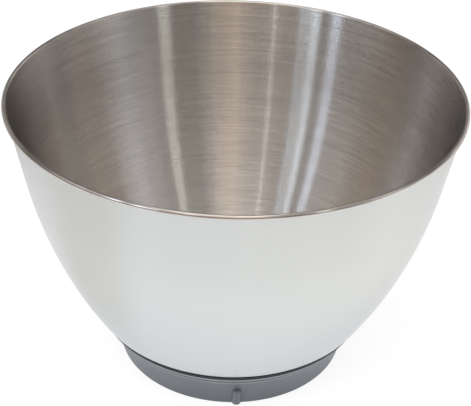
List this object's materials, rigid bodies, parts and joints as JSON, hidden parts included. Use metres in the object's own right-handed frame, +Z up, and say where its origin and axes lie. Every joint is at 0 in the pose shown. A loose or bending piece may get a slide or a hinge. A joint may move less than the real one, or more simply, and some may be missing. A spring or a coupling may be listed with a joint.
{
  "type": "stand mixer bowl",
  "caption": "Flared brushed steel mixing bowl with a rolled rim, on a grey moulded foot with locking lugs and a dark seal ring between them.",
  "frame": {"origin": "centre of the foot's underside, on the bowl's axis, on the surface that it stands on", "axes": "+Z up along the bowl's axis, towards its open mouth; -Y through the first locking lug on the foot"},
  "size_m": [0.24, 0.24, 0.1569],
  "materials": {
    "bowl_steel": "stainless steel, brushed round the axis inside and out",
    "seal_rubber": "dark satin rubber",
    "foot_plastic": "blue-grey moulded plastic, satin"
  },
  "bodies": {
    "root": {"bowl_shell": "bowl_steel", "seal_ring": "seal_rubber", "foot_ring": "foot_plastic"}
  },
  "joints": []
}
